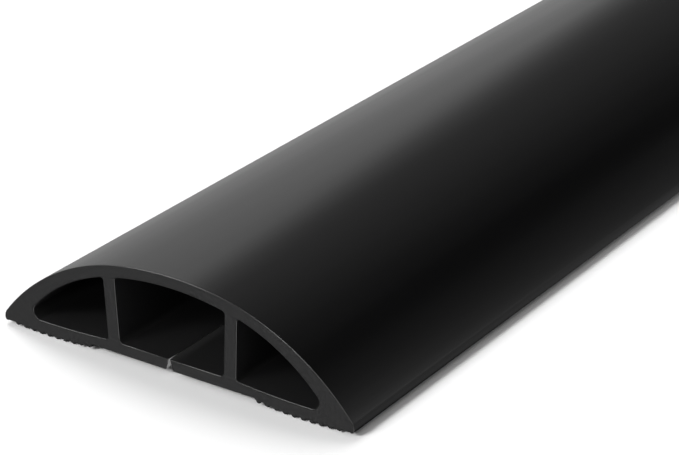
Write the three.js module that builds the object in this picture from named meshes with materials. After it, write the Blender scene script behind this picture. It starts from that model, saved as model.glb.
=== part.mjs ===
// Floor cord cover: one length of soft black rubber extrusion that lies over cables on a floor.
// A low dome stands on a flat base, and two leaning webs divide the inside into three channels.
// A slit along the base opens the middle channel, so that a cable can be pushed in from below.
// Millimetres, +Z up, length along Y. The origin is on the floor, under the middle of the length.
import * as THREE from "three";

// Overall size: toe to toe, floor to crown, and the length as sold.
const WIDTH = 76;
const HEIGHT = 19.4;
const LENGTH = 1000;

// Dome: a flatter crown, then shoulders that turn down at the toes, which end just clear of the floor.
const CROWN_RADIUS = 66.4;
const CROWN_HALF_WIDTH = 9.6;
const TOE_RADIUS = 2;
const TOE_CENTRE_HEIGHT = 1.4;
const TOE_BOTTOM_HEIGHT = 0.6;
const TOE_CORNER_RADIUS = 0.6;

// Walls. The shoulder wall grows a little from the web to the toe.
const CROWN_WALL = 2.25;
const SHOULDER_WALL_AT_WEB = 2.3;
const SHOULDER_WALL_AT_TOE = 2.85;
const BASE_WALL = 2.2;

// Webs. Their place is that of their middle at the channel floor, and each leans outwards at its top.
const WEB_WALL = 2.6;
const WEB_FOOT_X = 12.6;
const WEB_LEAN = THREE.MathUtils.degToRad(2.6);

// Middle channel: a flat floor, and a ceiling that arches more than the crown above it.
const CEILING_RADIUS = 55.4;
const MIDDLE_FLOOR_FILLET = 0.9;
const MIDDLE_CEILING_FILLET = 0.7;

// Side channels: the floor is a shallow dish, and the toe end is well rounded.
const DISH_DEPTH = 0.6;
const SIDE_FLOOR_FILLET = 0.6;
const SIDE_ROOF_FILLET = 0.5;
const SIDE_TOE_FILLET = 1.55;
const THICK_TOE_LENGTH = 8;

// Underside: a smooth band in the middle, and on each side a pad of small round lengthwise ribs.
// The pads bow down, so that the cover stands on the ribs in the middle of each pad.
const BAND_HEIGHT = 1.2;
const BAND_HALF_WIDTH = 17.6;
const RIB_COUNT = 10;
const RIB_HEIGHT = 0.4;
const RIB_WIDTH = 1.1;
const PAD_BOW = 0.48;
const TOE_GROOVE = 0.9;

// Slit through the base, a narrow V that is almost closed at the top. It runs a little off the middle.
const SLIT_OFFSET = -0.45;
const SLIT_TOP_WIDTH = 0.3;
const SLIT_BOTTOM_WIDTH = 1.5;
const SLIT_LIP_RADIUS = 0.35;

// The cut ends have a tiny rounded edge.
const CUT_EDGE_RADIUS = 0.2;

// How finely the round stretches are divided. An odd number of steps leaves a rib a flat crest.
const LONG_ARC_STEP = 1.5;
const SMALL_ARC_STEP = THREE.MathUtils.degToRad(15);
const RIB_STEPS = 5;
const CUT_EDGE_STEPS = 2;

// The section is drawn in x and z. A boundary of a channel is a straight line or a circle round it.
const at = (x, z) => new THREE.Vector2(x, z);
const straight = (point, inward) => ({ point, inward });
const round = (centre, radius) => ({ centre, radius });

// The boundary moved into the channel by r.
function movedIn(boundary, r) {
  if (boundary.centre) return round(boundary.centre, boundary.radius - r);
  const moved = boundary.point.clone().addScaledVector(boundary.inward, r);
  return straight(moved, boundary.inward);
}

// The point of a boundary nearest to a place.
function nearestOn(boundary, place) {
  if (boundary.centre) {
    const outward = place.clone().sub(boundary.centre).setLength(boundary.radius);
    return outward.add(boundary.centre);
  }
  const depth = place.clone().sub(boundary.point).dot(boundary.inward);
  return place.clone().addScaledVector(boundary.inward, -depth);
}

// The two places at a reach to each side of a middle.
function toEachSide(middle, along, reach) {
  return [reach, -reach].map((t) => middle.clone().addScaledVector(along, t));
}

// Where two straight boundaries cross.
function straightCrossing(a, b) {
  const along = at(-a.inward.y, a.inward.x);
  const reach = b.point.clone().sub(a.point).dot(b.inward) / along.dot(b.inward);
  return [a.point.clone().addScaledVector(along, reach)];
}

// Where a straight boundary crosses a round one.
function mixedCrossings(line, circle) {
  const middle = nearestOn(line, circle.centre);
  const reach = Math.sqrt(circle.radius ** 2 - middle.distanceToSquared(circle.centre));
  return toEachSide(middle, at(-line.inward.y, line.inward.x), reach);
}

// Where two round boundaries cross.
function roundCrossings(a, b) {
  const between = b.centre.clone().sub(a.centre);
  const apart = between.length();
  const along = (apart ** 2 + a.radius ** 2 - b.radius ** 2) / (2 * apart);
  const reach = Math.sqrt(a.radius ** 2 - along ** 2);
  between.normalize();
  const middle = a.centre.clone().addScaledVector(between, along);
  return toEachSide(middle, at(-between.y, between.x), reach);
}

function crossings(a, b) {
  if (a.centre && b.centre) return roundCrossings(a, b);
  if (a.centre) return mixedCrossings(b, a);
  if (b.centre) return mixedCrossings(a, b);
  return straightCrossing(a, b);
}

// The crossing of two boundaries that lies nearest to a place.
function crossing(a, b, place) {
  const found = crossings(a, b);
  found.sort((p, q) => p.distanceTo(place) - q.distanceTo(place));
  return found[0];
}

// Points round a centre from one place to another, the short way, with both ends.
function arc(centre, from, to, longestStep) {
  const start = from.clone().sub(centre);
  const end = to.clone().sub(centre);
  const turn = Math.atan2(start.cross(end), start.dot(end));
  const steps = Math.ceil(Math.abs(turn) / longestStep);
  const points = [];
  for (let i = 0; i <= steps; i++) {
    points.push(start.clone().rotateAround(at(0, 0), (turn * i) / steps).add(centre));
  }
  return points;
}

const smallArc = (centre, from, to) => arc(centre, from, to, SMALL_ARC_STEP);
const longArc = (centre, from, to) => arc(centre, from, to, LONG_ARC_STEP / from.distanceTo(centre));
const mirrored = (points) => points.map((p) => at(-p.x, p.y)).reverse();

// A channel's outline, counterclockwise. Corner i joins boundary i to the next one with a fillet.
function channelOutline(boundaries, corners) {
  const after = (i) => boundaries[(i + 1) % boundaries.length];
  const fillets = corners.map(({ radius, place }, i) => {
    const centre = crossing(movedIn(boundaries[i], radius), movedIn(after(i), radius), place);
    return { centre, from: nearestOn(boundaries[i], centre), to: nearestOn(after(i), centre) };
  });
  return fillets.flatMap(({ centre, from, to }, i) => {
    const points = smallArc(centre, from, to);
    const next = fillets[i + 1];
    if (next && after(i).centre) points.push(...longArc(after(i).centre, to, next.from).slice(1, -1));
    return points;
  });
}

// Dome: the crown's arc, then a shoulder arc that runs smoothly from the crown into the toe.
const crownCentre = at(0, HEIGHT - CROWN_RADIUS);
const crownEndAngle = Math.asin(CROWN_HALF_WIDTH / CROWN_RADIUS);
const crownEndNormal = at(Math.sin(crownEndAngle), Math.cos(crownEndAngle));
const crownEnd = crownCentre.clone().addScaledVector(crownEndNormal, CROWN_RADIUS);
const toeCentre = at(WIDTH / 2 - TOE_RADIUS, TOE_CENTRE_HEIGHT);
const toeToCrown = crownEnd.clone().sub(toeCentre);
const shoulderRadius =
  (toeToCrown.lengthSq() - TOE_RADIUS ** 2) / (2 * (toeToCrown.dot(crownEndNormal) - TOE_RADIUS));
const shoulderCentre = crownEnd.clone().addScaledVector(crownEndNormal, -shoulderRadius);
const toeCorner = at(WIDTH / 2 - TOE_CORNER_RADIUS, TOE_BOTTOM_HEIGHT + TOE_CORNER_RADIUS);

// Pads: ribs of one pitch from the smooth band to the groove beside the toe.
const channelFloor = BAND_HEIGHT + BASE_WALL;
const padEndX = toeCorner.x - TOE_CORNER_RADIUS - TOE_GROOVE;
const ribPitch = (padEndX - BAND_HALF_WIDTH) / RIB_COUNT;
const ribX = (i) => BAND_HALF_WIDTH + (i + 0.5) * ribPitch;
const padLowestX = ribX(Math.round(RIB_COUNT / 2));
const crestHeight = (x) => PAD_BOW * ((x - padLowestX) / (padLowestX - ribX(0))) ** 2;
const rootHeight = (x) => Math.min(BAND_HEIGHT, crestHeight(x) + RIB_HEIGHT);

// One rib hangs from the pad as a half ellipse. Its flat crest facet lies at the crest height.
function ribPoints(x) {
  const root = rootHeight(x);
  const depth = (root - crestHeight(x)) / Math.cos(Math.PI / (2 * RIB_STEPS));
  const points = [];
  for (let i = 0; i <= RIB_STEPS; i++) {
    const angle = (Math.PI * i) / RIB_STEPS;
    const aside = (RIB_WIDTH / 2) * Math.cos(angle);
    points.push(at(x - aside, root - depth * Math.sin(angle)));
  }
  return points;
}

// The underside of the right half, from the edge of the smooth band to the groove beside the toe.
function rightPad() {
  const points = [at(BAND_HALF_WIDTH, BAND_HEIGHT)];
  for (let i = 0; i < RIB_COUNT; i++) points.push(...ribPoints(ribX(i)));
  return points;
}

// The outside of the right half, from the smooth band round the toe and up to the crown.
function rightOutside() {
  const corner = round(toeCorner, TOE_CORNER_RADIUS);
  const groove = straight(at(padEndX, rootHeight(ribX(RIB_COUNT - 1))), at(0, 1));
  const cornerStart = crossing(groove, corner, groove.point);
  const cornerBottom = at(toeCorner.x, TOE_BOTTOM_HEIGHT);
  const cornerEnd = at(WIDTH / 2, toeCorner.y);
  const toeTip = at(WIDTH / 2, toeCentre.y);
  const toeEnd = nearestOn(round(shoulderCentre, shoulderRadius), toeCentre);
  return [
    ...rightPad(),
    ...smallArc(toeCorner, cornerStart, cornerBottom),
    ...smallArc(toeCorner, cornerBottom, cornerEnd).slice(1),
    ...smallArc(toeCentre, toeTip, toeEnd),
    ...longArc(shoulderCentre, toeEnd, crownEnd).slice(1),
    ...longArc(crownCentre, crownEnd, at(0, HEIGHT)).slice(1),
  ];
}

// A face of the right web. Side is 1 for the outer face and -1 for the inner one.
function webFace(side) {
  const outward = at(Math.cos(WEB_LEAN), -Math.sin(WEB_LEAN));
  const foot = at(WEB_FOOT_X, channelFloor).addScaledVector(outward, (side * WEB_WALL) / 2);
  return straight(foot, outward.multiplyScalar(side));
}

// The middle channel, counterclockwise from its right floor corner to its left one.
function middleChannel() {
  const ceilingTop = HEIGHT - CROWN_WALL;
  const rightWeb = webFace(-1);
  const leftWeb = straight(
    at(-rightWeb.point.x, rightWeb.point.y),
    at(-rightWeb.inward.x, rightWeb.inward.y),
  );
  const floor = straight(at(0, channelFloor), at(0, 1));
  const ceiling = round(at(0, ceilingTop - CEILING_RADIUS), CEILING_RADIUS);
  return channelOutline(
    [floor, rightWeb, ceiling, leftWeb],
    [
      { radius: MIDDLE_FLOOR_FILLET, place: at(WEB_FOOT_X, channelFloor) },
      { radius: MIDDLE_CEILING_FILLET, place: at(WEB_FOOT_X, ceilingTop) },
      { radius: MIDDLE_CEILING_FILLET, place: at(-WEB_FOOT_X, ceilingTop) },
      { radius: MIDDLE_FLOOR_FILLET, place: at(-WEB_FOOT_X, channelFloor) },
    ],
  );
}

// Roof of the right side channel, a rounder arc than the shoulder, so that the wall grows to the toe.
function sideRoof() {
  const webX = WEB_FOOT_X + WEB_WALL / 2;
  const thickX = WIDTH / 2 - THICK_TOE_LENGTH;
  const angleAt = (x) => Math.asin((x - shoulderCentre.x) / shoulderRadius);
  const angle = angleAt(webX);
  const growth = SHOULDER_WALL_AT_TOE - SHOULDER_WALL_AT_WEB;
  const offset = growth / (1 - Math.cos(angleAt(thickX) - angle));
  const towardsWeb = at(Math.sin(angle), Math.cos(angle));
  const centre = shoulderCentre.clone().addScaledVector(towardsWeb, offset);
  return round(centre, shoulderRadius - SHOULDER_WALL_AT_WEB - offset);
}

// The right side channel, counterclockwise from its floor corner at the web.
function sideChannel() {
  const web = webFace(1);
  const dishHalfWidth = padLowestX - web.point.x;
  const dishRadius = (dishHalfWidth ** 2 + DISH_DEPTH ** 2) / (2 * DISH_DEPTH);
  const floor = round(at(padLowestX, channelFloor - DISH_DEPTH + dishRadius), dishRadius);
  return channelOutline(
    [web, floor, sideRoof()],
    [
      { radius: SIDE_FLOOR_FILLET, place: at(WEB_FOOT_X, channelFloor) },
      { radius: SIDE_TOE_FILLET, place: at(WIDTH / 2, channelFloor) },
      { radius: SIDE_ROOF_FILLET, place: at(WEB_FOOT_X, HEIGHT) },
    ],
  );
}

// One lip of the slit, from the underside up to the channel floor. Side is 1 for the right lip.
function slitLip(side) {
  const top = at(SLIT_OFFSET + (side * SLIT_TOP_WIDTH) / 2, channelFloor);
  const bottom = at(SLIT_OFFSET + (side * SLIT_BOTTOM_WIDTH) / 2, BAND_HEIGHT);
  const down = bottom.clone().sub(top).normalize();
  const wall = straight(top, at(-down.y * side, down.x * side));
  const underside = straight(bottom, at(0, 1));
  const lip = crossing(movedIn(underside, SLIT_LIP_RADIUS), movedIn(wall, SLIT_LIP_RADIUS), bottom);
  return [...smallArc(lip, nearestOn(underside, lip), nearestOn(wall, lip)), top];
}

// The whole section. The slit joins the middle channel to the outside, so they are one outline.
function section() {
  const right = rightOutside();
  const outline = [
    ...right,
    ...mirrored(right).slice(1),
    ...slitLip(-1),
    ...middleChannel().reverse(),
    ...slitLip(1).reverse(),
  ];
  const shape = new THREE.Shape(outline);
  const side = sideChannel();
  shape.holes.push(new THREE.Path(side), new THREE.Path(mirrored(side)));
  return shape;
}

// The section drawn out along Y, with the cut edges rounded inside the full length.
function extruded(shape) {
  const plainLength = LENGTH - 2 * CUT_EDGE_RADIUS;
  const geometry = new THREE.ExtrudeGeometry(shape, {
    depth: plainLength,
    steps: 1,
    bevelThickness: CUT_EDGE_RADIUS,
    bevelSize: CUT_EDGE_RADIUS,
    bevelOffset: -CUT_EDGE_RADIUS,
    bevelSegments: CUT_EDGE_STEPS,
  });
  geometry.translate(0, 0, -plainLength / 2);
  geometry.rotateX(Math.PI / 2);
  return geometry;
}

const blackRubber = new THREE.MeshStandardMaterial({
  color: 0x1c1c1d,
  roughness: 0.45,
  metalness: 0,
});

const cordCover = new THREE.Mesh(extruded(section()), blackRubber);
cordCover.name = "cord_cover";

const part = new THREE.Group();
part.add(cordCover);

export default part;
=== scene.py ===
import math

import bpy
from mathutils import Matrix, Vector


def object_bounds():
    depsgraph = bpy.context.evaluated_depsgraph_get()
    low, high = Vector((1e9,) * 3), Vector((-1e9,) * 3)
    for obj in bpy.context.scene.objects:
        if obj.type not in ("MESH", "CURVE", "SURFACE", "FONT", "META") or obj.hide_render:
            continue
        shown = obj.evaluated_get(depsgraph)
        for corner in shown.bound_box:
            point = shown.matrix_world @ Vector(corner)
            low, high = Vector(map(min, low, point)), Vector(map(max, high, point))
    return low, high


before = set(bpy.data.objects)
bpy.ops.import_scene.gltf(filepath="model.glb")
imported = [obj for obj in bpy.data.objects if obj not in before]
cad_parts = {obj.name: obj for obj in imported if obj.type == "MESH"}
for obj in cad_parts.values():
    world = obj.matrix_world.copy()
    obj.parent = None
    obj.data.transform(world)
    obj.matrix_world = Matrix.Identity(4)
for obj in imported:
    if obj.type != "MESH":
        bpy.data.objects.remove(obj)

cad_low, cad_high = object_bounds()
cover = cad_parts["cord_cover"]
near_end = Vector((0.0, cad_low.y, 0.0))

# The photograph's frame, and the camera that was solved from its end face, relative to the near end.
IMAGE_WIDTH = 679
SENSOR_WIDTH_MM = 36.0
FOCAL_LENGTH_PIXELS = 2410.0
CAMERA_FROM_NEAR_END = Vector((0.2319, -0.2863, 0.1975))
CAMERA_HEADING = math.radians(-34.46)
CAMERA_TILT = math.radians(24.74)
CAMERA_ROLL = math.radians(-0.46)


def make_camera():
    level = math.cos(CAMERA_TILT)
    sideways = math.sin(CAMERA_HEADING) * level
    ahead = math.cos(CAMERA_HEADING) * level
    forward = Vector((sideways, ahead, -math.sin(CAMERA_TILT)))
    right = forward.cross(Vector((0, 0, 1))).normalized()
    up = right.cross(forward)
    turn = Matrix((right, up, -forward)).transposed() @ Matrix.Rotation(CAMERA_ROLL, 3, "Z")
    data = bpy.data.cameras.new("camera")
    data.sensor_width = SENSOR_WIDTH_MM
    data.lens = FOCAL_LENGTH_PIXELS / IMAGE_WIDTH * SENSOR_WIDTH_MM
    camera = bpy.data.objects.new("camera", data)
    camera.matrix_world = Matrix.Translation(near_end + CAMERA_FROM_NEAR_END) @ turn.to_4x4()
    bpy.context.scene.collection.objects.link(camera)
    bpy.context.scene.camera = camera


# Shading: round stretches are smooth, and edges that turn by more than this stay sharp.
SHARP_EDGE = math.radians(50)
WELD_DISTANCE = 1e-6


def smooth_round_stretches(obj):
    tree = bpy.data.node_groups.new("round_stretches", "GeometryNodeTree")
    tree.interface.new_socket("Geometry", in_out="INPUT", socket_type="NodeSocketGeometry")
    tree.interface.new_socket("Geometry", in_out="OUTPUT", socket_type="NodeSocketGeometry")
    nodes = tree.nodes
    link = tree.links.new
    start = nodes.new("NodeGroupInput")
    weld = nodes.new("GeometryNodeMergeByDistance")
    weld.inputs["Distance"].default_value = WELD_DISTANCE
    smooth_faces = nodes.new("GeometryNodeSetShadeSmooth")
    angle = nodes.new("GeometryNodeInputMeshEdgeAngle")
    is_sharp = nodes.new("FunctionNodeCompare")
    is_sharp.operation = "GREATER_THAN"
    is_sharp.inputs[1].default_value = SHARP_EDGE
    sharpen = nodes.new("GeometryNodeSetShadeSmooth")
    sharpen.domain = "EDGE"
    sharpen.inputs["Shade Smooth"].default_value = False
    end = nodes.new("NodeGroupOutput")
    link(start.outputs[0], weld.inputs["Geometry"])
    link(weld.outputs[0], smooth_faces.inputs["Geometry"])
    link(smooth_faces.outputs[0], sharpen.inputs["Geometry"])
    link(angle.outputs["Unsigned Angle"], is_sharp.inputs[0])
    link(is_sharp.outputs[0], sharpen.inputs["Selection"])
    link(sharpen.outputs[0], end.inputs[0])
    obj.modifiers.new("round stretches", "NODES").node_group = tree
    weighted = obj.modifiers.new("flat faces stay flat", "WEIGHTED_NORMAL")
    weighted.mode = "FACE_AREA_WITH_ANGLE"
    weighted.keep_sharp = True


class NodeTree:
    """Short ways to add nodes to a material's or a world's tree."""

    def __init__(self, tree):
        self.tree = tree

    def add(self, kind, settings=None, **inputs):
        node = self.tree.nodes.new(kind)
        for name, value in (settings or {}).items():
            setattr(node, name, value)
        for name, value in inputs.items():
            self.feed(node.inputs[name.replace("_", " ")], value)
        return node

    def feed(self, socket, value):
        if isinstance(value, bpy.types.NodeSocket):
            self.tree.links.new(value, socket)
        else:
            socket.default_value = value

    def math(self, operation, *values):
        node = self.add("ShaderNodeMath", {"operation": operation})
        for socket, value in zip(node.inputs, values):
            self.feed(socket, value)
        return node.outputs[0]

    def product(self, first, *others):
        result = first
        for value in others:
            result = self.math("MULTIPLY", result, value)
        return result

    def spread(self, value, low, high):
        """A value from 0 to 1, spread from low to high."""
        node = self.add("ShaderNodeMapRange", Value=value)
        node.inputs["To Min"].default_value = low
        node.inputs["To Max"].default_value = high
        return node.outputs[0]

    def step(self, value, start, end):
        """0 at start and 1 at end, with a soft step between. Either of the two may be the higher one."""
        node = self.add("ShaderNodeMapRange", {"interpolation_type": "SMOOTHSTEP"}, Value=value)
        node.inputs["From Min"].default_value = start
        node.inputs["From Max"].default_value = end
        return node.outputs[0]

    def blend(self, factor, a, b):
        node = self.add("ShaderNodeMix", {"data_type": "FLOAT"})
        for socket, value in zip((node.inputs[0], node.inputs[2], node.inputs[3]), (factor, a, b)):
            self.feed(socket, value)
        return node.outputs[0]

    def blend_colours(self, factor, a, b):
        node = self.add("ShaderNodeMix", {"data_type": "RGBA"})
        for socket, value in zip((node.inputs[0], node.inputs[6], node.inputs[7]), (factor, a, b)):
            self.feed(socket, value)
        return node.outputs[2]

    def noise(self, place, width, stretch=1.0, detail=2.0):
        """Noise with blotches of a width in metres, which are stretched so many times along Y."""
        scaled = self.add("ShaderNodeVectorMath", {"operation": "MULTIPLY"})
        self.feed(scaled.inputs[0], place)
        scaled.inputs[1].default_value = (1 / width, 1 / (width * stretch), 1 / width)
        return self.add("ShaderNodeTexNoise", Vector=scaled.outputs[0], Scale=1.0, Detail=detail).outputs[0]


# Rubber colours: a black skin with a little dust; matt channels coloured lighter as painted fill light,
# with a painted highlight along the slit's right side; mottled cut ends with a darker rim; and the slit's
# cut walls, coloured light as painted light, palest at both ends.
SKIN_COLOUR = (0.0010, 0.0010, 0.0011, 1)
SKIN_DUSTY_COLOUR = (0.0020, 0.0020, 0.0021, 1)
INSIDE_PAINTED_FILL_COLOUR = (0.0066, 0.0066, 0.0067, 1)
LIP_PAINTED_HIGHLIGHT_COLOUR = (0.016, 0.016, 0.0161, 1)
CUT_COLOUR = (0.0005, 0.0005, 0.0006, 1)
CUT_LIGHT_COLOUR = (0.006, 0.006, 0.0061, 1)
SLIT_PAINTED_LIGHT_COLOUR = (0.08, 0.08, 0.0801, 1)
SLIT_END_PAINTED_LIGHT_COLOUR = (0.6, 0.6, 0.602, 1)
RIM_COLOUR = (0.002, 0.002, 0.002, 1)

# Satin outside, duller inside, matt where it was cut.
SKIN_ROUGHNESS = (0.19, 0.24)
INSIDE_ROUGHNESS = 0.4
CUT_ROUGHNESS = (0.55, 0.75)
RIM_ROUGHNESS = 0.28

# Streaks lie along the strip, and so do the dust's blotches. Widths and depths are in metres.
STREAK_WIDTH = 0.003
STREAK_STRETCH = 200.0
STREAK_DEPTH = 0.000005
FINE_STREAK_WIDTH = 0.0007
FINE_STREAK_STRETCH = 600.0
FINE_STREAK_SHARE = 0.7
GRAIN_WIDTH = 0.00022
GRAIN_DEPTH = 0.0000026
CUT_GRAIN_WIDTH = 0.0005
CUT_GRAIN_DETAIL = 4.0
CUT_GRAIN_DEPTH = 0.00002
BLOTCH_WIDTH = 0.03
BLOTCH_STRETCH = 4.0

# Levels of noise between which a pattern goes from nothing to full.
DUSTY_BLOTCHES = (0.45, 0.7)
CUT_MOTTLING = (0.35, 0.7)
ROUGH_PATCHES = (0.35, 0.65)
# Rough patches follow the streaks by this share, and the blotches for the rest.
ROUGH_STREAK_SHARE = 0.6

# How far a face points along the strip where it counts as cut end or as rim, and across it as slit wall.
END_FACING = (0.94, 0.98)
RIM_FACING = (0.15, 0.30)
SLIT_WALL_FACING = 0.5

# The channels lie inside a circle under the dome's wall, and above the underside's band.
INSIDE_RADIUS = 0.0469
INSIDE_CENTRE_HEIGHT = -0.0285
INSIDE_LOWEST = 0.0022

# The slit in the base, the painted highlight on the lip at its right, and how deep from the ends its walls
# are painted pale.
SLIT_X = -0.00045
SLIT_REACH = 0.0009
SLIT_TOP = 0.00335
SLIT_PALE_DEPTH = 0.003
SLIT_PALEST_DEPTH = 0.001
LIP_WIDTH = 0.0026
LIP_TOP = 0.006


def end_zones(make, facing):
    """The cut ends, and the rim round them."""
    along = make.math("ABSOLUTE", facing["Y"])
    at_end = make.step(along, *END_FACING)
    at_rim = make.math("SUBTRACT", make.step(along, *RIM_FACING), at_end)
    return at_end, at_rim


def slit_zone(make, where, facing):
    """The slit's two walls."""
    from_slit = make.math("ABSOLUTE", make.math("SUBTRACT", where["X"], SLIT_X))
    near_slit = make.math("LESS_THAN", from_slit, SLIT_REACH)
    in_base = make.math("LESS_THAN", where["Z"], SLIT_TOP)
    upright = make.math("GREATER_THAN", make.math("ABSOLUTE", facing["X"]), SLIT_WALL_FACING)
    return make.product(near_slit, in_base, upright)


def channel_zone(make, where):
    """The walls of the three channels."""
    across = make.math("POWER", where["X"], 2.0)
    above = make.math("POWER", make.math("SUBTRACT", where["Z"], INSIDE_CENTRE_HEIGHT), 2.0)
    from_centre = make.math("SQRT", make.math("ADD", across, above))
    under_dome = make.math("LESS_THAN", from_centre, INSIDE_RADIUS)
    above_band = make.math("GREATER_THAN", where["Z"], INSIDE_LOWEST)
    return make.product(under_dome, above_band)


def painted_lip_highlight_zone(make, where):
    """The middle channel's floor beside the slit, with a painted highlight that fades out to the right."""
    beside_slit = make.math("SUBTRACT", where["X"], SLIT_X)
    fading = make.step(beside_slit, LIP_WIDTH, 0.0)
    on_the_right = make.math("GREATER_THAN", beside_slit, 0.0)
    on_floor = make.math("LESS_THAN", where["Z"], LIP_TOP)
    return make.product(fading, on_the_right, on_floor)


def uncut_colour(make, where, is_inside, streaks, blotches):
    """The dusty skin, and the channels, lightened by painted fill light, with a painted highlight along the
    slit's lip.
    """
    dust = make.product(make.step(blotches, *DUSTY_BLOTCHES), streaks)
    skin = make.blend_colours(dust, SKIN_COLOUR, SKIN_DUSTY_COLOUR)
    # The channels' lighter colour is painted fill light, and the band beside the slit is a painted
    # highlight.
    inside = make.blend_colours(painted_lip_highlight_zone(make, where), INSIDE_PAINTED_FILL_COLOUR, LIP_PAINTED_HIGHLIGHT_COLOUR)
    return make.blend_colours(is_inside, skin, inside)


def cut_colour(make, where, at_end, cut_grain):
    """The mottled cut ends, and the slit's knife-cut walls, whose light colour is painted light."""
    mottled = make.blend_colours(make.step(cut_grain, *CUT_MOTTLING), CUT_COLOUR, CUT_LIGHT_COLOUR)
    from_middle = make.math("ABSOLUTE", where["Y"])
    # Painted light: the slit's walls are coloured light, and palest near both ends, where light shows
    # through the notch.
    painted_light_near_ends = make.step(from_middle, cad_high.y - SLIT_PALE_DEPTH, cad_high.y - SLIT_PALEST_DEPTH)
    slit = make.blend_colours(painted_light_near_ends, SLIT_PAINTED_LIGHT_COLOUR, SLIT_END_PAINTED_LIGHT_COLOUR)
    return make.blend_colours(at_end, slit, mottled)


def uncut_roughness(make, is_inside, streaks, blotches):
    patches = make.step(make.blend(ROUGH_STREAK_SHARE, blotches, streaks), *ROUGH_PATCHES)
    return make.blend(is_inside, make.spread(patches, *SKIN_ROUGHNESS), INSIDE_ROUGHNESS)


def uncut_height(make, place, streaks):
    """Streaks and fine grain, in metres."""
    fine_streaks = make.noise(place, FINE_STREAK_WIDTH, FINE_STREAK_STRETCH)
    all_streaks = make.math("ADD", streaks, make.product(fine_streaks, FINE_STREAK_SHARE))
    grain = make.noise(place, GRAIN_WIDTH)
    return make.math("ADD", make.product(all_streaks, STREAK_DEPTH), make.product(grain, GRAIN_DEPTH))


def rubber_material():
    material = bpy.data.materials.new("satin_black_rubber")
    material.use_nodes = True
    make = NodeTree(material.node_tree)
    shader = material.node_tree.nodes["Principled BSDF"]
    place = make.add("ShaderNodeTexCoord").outputs["Object"]
    where = make.add("ShaderNodeSeparateXYZ", Vector=place).outputs
    true_normal = make.add("ShaderNodeNewGeometry").outputs["True Normal"]
    facing = make.add("ShaderNodeSeparateXYZ", Vector=true_normal).outputs
    at_end, at_rim = end_zones(make, facing)
    is_cut = make.math("MAXIMUM", at_end, slit_zone(make, where, facing))
    is_inside = channel_zone(make, where)

    streaks = make.noise(place, STREAK_WIDTH, STREAK_STRETCH)
    blotches = make.noise(place, BLOTCH_WIDTH, BLOTCH_STRETCH)
    cut_grain = make.noise(place, CUT_GRAIN_WIDTH, detail=CUT_GRAIN_DETAIL)

    uncut = uncut_colour(make, where, is_inside, streaks, blotches)
    colour = make.blend_colours(is_cut, uncut, cut_colour(make, where, at_end, cut_grain))
    make.feed(shader.inputs["Base Color"], make.blend_colours(at_rim, colour, RIM_COLOUR))

    cut_roughness = make.spread(cut_grain, *CUT_ROUGHNESS)
    roughness = make.blend(is_cut, uncut_roughness(make, is_inside, streaks, blotches), cut_roughness)
    make.feed(shader.inputs["Roughness"], make.blend(at_rim, roughness, RIM_ROUGHNESS))

    cut_height = make.product(cut_grain, CUT_GRAIN_DEPTH)
    height = make.blend(is_cut, uncut_height(make, place, streaks), cut_height)
    bump = make.add("ShaderNodeBump", Height=height, Distance=1.0, Strength=1.0)
    make.feed(shader.inputs["Normal"], bump.outputs[0])
    return material


# Studio, as the gloss sees it. Azimuths go from +X towards +Y, and angles are in degrees.
# Round the strip: an azimuth, and how bright the walls are there at mid height.
WALLS = (
    (-180, 0.85), (-150, 0.60), (-129, 0.45), (-90, 0.55), (-39, 0.50), (0, 0.45), (30, 0.30), (60, 0.02),
    (74, 0.018), (82, 0.045), (90, 0.07), (98, 0.095), (106, 0.125), (114, 0.15), (118, 0.24), (121, 0.41),
    (123, 0.68), (125, 0.78), (135, 0.80), (180, 0.85),
)
# The bright left wall's edge leans: its azimuth grows by this share of the elevation above this height.
# The lean comes in between the first two azimuths and goes out between the last two.
EDGE_LEAN = 0.25
EDGE_LEAN_FROM = 22.0
EDGE_LEAN_IN = (60.0, 110.0)
EDGE_LEAN_OUT = (165.0, 140.0)
# From the floor up: an elevation, and how much brighter or darker it is there than at mid height.
HEIGHTS = (
    (-90, 0.45), (-30, 0.50), (-10, 0.62), (2, 0.68), (10, 0.76), (18, 0.84), (28, 1.0), (34, 1.3),
    (42, 2.0), (48, 2.3), (90, 2.3),
)
HEIGHTS_TOP = 2.5
# A glow low on the right, over azimuth plus a share of the elevation, and weaker near the floor.
GLOW_LEAN = 0.95
RIGHT_GLOW = (
    (-60, 0.0), (-20, 0.85), (55, 0.85), (63, 0.85), (67, 0.68), (71, 0.41), (75, 0.25), (79, 0.17),
    (83, 0.13), (90, 0.08), (100, 0.02), (110, 0.0), (180, 0.0),
)
GLOW_FLOOR = (8.0, 22.0)
GLOW_AT_FLOOR = 0.32
CEILING = 0.35
CEILING_EDGE = (42.0, 62.0)
# A low reflector in front on the right lights the upright rims of the webs.
REFLECTOR_AZIMUTH = -39.0
REFLECTOR_SIDES = (35.0, 15.0)
REFLECTOR_TOP = (-6.0, -16.0)
REFLECTOR_LEVEL = 2.6
# Under the strip it is dark, by elevation, but not in front of its near end, by a direction's Y part.
DARK_UNDER = (-42.0, -20.0)
OPEN_IN_FRONT = (0.1, -0.2)
# What is matt gets a plain, weaker light from all round, and the camera sees a pale backdrop.
PLAIN_LIGHT = 0.33
BACKDROP = 0.9


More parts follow.
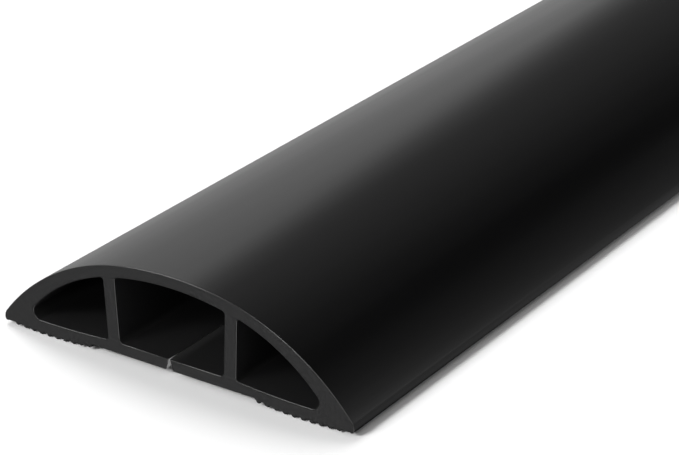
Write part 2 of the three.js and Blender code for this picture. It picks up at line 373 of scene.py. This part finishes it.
def curve_of(make, value, points, top=1.0):
    """A curve through listed points, over a value in degrees. No level is above the top."""
    low = points[0][0]
    high = points[-1][0]
    position = make.add("ShaderNodeMapRange", Value=value)
    position.inputs["From Min"].default_value = low
    position.inputs["From Max"].default_value = high
    node = make.add("ShaderNodeFloatCurve", Value=position.outputs[0])
    curve = node.mapping.curves[0]
    while len(curve.points) < len(points):
        curve.points.new(0.5, 0.5)
    for point, (degrees, level) in zip(curve.points, points):
        point.location = ((degrees - low) / (high - low), level / top)
        point.handle_type = "AUTO_CLAMPED"
    node.mapping.update()
    return make.product(node.outputs[0], top)


def wall_level(make, azimuth, elevation):
    above = make.math("SUBTRACT", elevation, EDGE_LEAN_FROM)
    comes_in = make.step(azimuth, *EDGE_LEAN_IN)
    goes_out = make.step(azimuth, *EDGE_LEAN_OUT)
    lean = make.product(above, EDGE_LEAN, comes_in, goes_out)
    round_the_strip = curve_of(make, make.math("SUBTRACT", azimuth, lean), WALLS)
    return make.product(round_the_strip, curve_of(make, elevation, HEIGHTS, HEIGHTS_TOP))


def glow_level(make, azimuth, elevation):
    tilted = make.math("ADD", azimuth, make.product(elevation, GLOW_LEAN))
    near_floor = make.blend(make.step(elevation, *GLOW_FLOOR), GLOW_AT_FLOOR, 1.0)
    return make.product(curve_of(make, tilted, RIGHT_GLOW), near_floor)


def reflector_level(make, azimuth, elevation):
    from_middle = make.math("ABSOLUTE", make.math("SUBTRACT", azimuth, REFLECTOR_AZIMUTH))
    between_sides = make.step(from_middle, *REFLECTOR_SIDES)
    under_top = make.step(elevation, *REFLECTOR_TOP)
    return make.product(between_sides, under_top, REFLECTOR_LEVEL)


def make_sky():
    world = bpy.data.worlds.new("studio")
    bpy.context.scene.world = world
    world.use_nodes = True
    make = NodeTree(world.node_tree)
    generated = make.add("ShaderNodeTexCoord").outputs["Generated"]
    direction = make.add("ShaderNodeSeparateXYZ", Vector=generated).outputs
    azimuth = make.math("DEGREES", make.math("ARCTAN2", direction["Y"], direction["X"]))
    elevation = make.math("DEGREES", make.math("ARCSINE", direction["Z"]))

    level = make.math("ADD", wall_level(make, azimuth, elevation), glow_level(make, azimuth, elevation))
    level = make.blend(make.step(elevation, *CEILING_EDGE), level, CEILING)
    level = make.math("ADD", level, reflector_level(make, azimuth, elevation))
    in_front = make.step(direction["Y"], *OPEN_IN_FRONT)
    is_open = make.math("MAXIMUM", make.step(elevation, *DARK_UNDER), in_front)
    reflected = make.product(level, is_open)

    rays = make.add("ShaderNodeLightPath").outputs
    plain = make.blend(rays["Is Camera Ray"], PLAIN_LIGHT, BACKDROP)
    light = make.blend(rays["Is Glossy Ray"], plain, reflected)
    make.feed(world.node_tree.nodes["Background"].inputs["Color"], light)


def make_light(name, azimuth, elevation, distance, size, power, glossy):
    """A round softbox that is aimed at the near end. It lights either the gloss or all the rest."""
    data = bpy.data.lights.new(name, "AREA")
    data.shape = "DISK"
    data.size = size
    data.energy = power
    light = bpy.data.objects.new(name, data)
    heading = Matrix.Rotation(math.radians(azimuth), 3, "Z")
    lift = Matrix.Rotation(-math.radians(elevation), 3, "Y")
    offset = heading @ lift @ Vector((distance, 0, 0))
    turn = (-offset).to_track_quat("-Z", "Y")
    light.matrix_world = Matrix.Translation(near_end + offset) @ turn.to_matrix().to_4x4()
    light.visible_glossy = glossy
    light.visible_diffuse = not glossy
    bpy.context.scene.collection.objects.link(light)
    return light


def light_only_the_cover(light):
    """The floor doesn't get this light."""
    lit = bpy.data.collections.new("lit by " + light.name)
    lit.objects.link(cover)
    light.light_linking.receiver_collection = lit


FLOOR_REACH = 12.0
FLOOR_COLOUR = (0.9, 0.9, 0.9, 1)
FLOOR_ROUGHNESS = 0.9


def make_floor():
    reach = FLOOR_REACH
    mesh = bpy.data.meshes.new("floor")
    corners = [(-reach, -reach, 0), (reach, -reach, 0), (reach, reach, 0), (-reach, reach, 0)]
    mesh.from_pydata(corners, [], [(0, 1, 2, 3)])
    floor = bpy.data.objects.new("floor", mesh)
    material = bpy.data.materials.new("white_floor")
    material.use_nodes = True
    shader = material.node_tree.nodes["Principled BSDF"]
    shader.inputs["Base Color"].default_value = FLOOR_COLOUR
    shader.inputs["Roughness"].default_value = FLOOR_ROUGHNESS
    mesh.materials.append(material)
    floor.visible_glossy = False
    bpy.context.scene.collection.objects.link(floor)


make_camera()
smooth_round_stretches(cover)
skin = rubber_material()
for slot in cover.material_slots:
    slot.material = skin
make_sky()
make_floor()
make_light("back_key", azimuth=146.0, elevation=48.0, distance=8.0, size=4.2, power=355.0, glossy=False)
make_light("front_key", azimuth=-118.0, elevation=31.5, distance=8.0, size=2.95, power=640.0, glossy=False)
make_light("front_rim", azimuth=-79.0, elevation=46.0, distance=1.3, size=0.5, power=7.0, glossy=True)
make_light("left_rim", azimuth=-140.0, elevation=43.0, distance=1.3, size=0.5, power=7.0, glossy=True)
channel_fill = make_light(
    "channel_fill", azimuth=-88.0, elevation=10.0, distance=3.0, size=0.5, power=105.0, glossy=False
)
light_only_the_cover(channel_fill)
bpy.context.scene.view_settings.view_transform = "Standard"
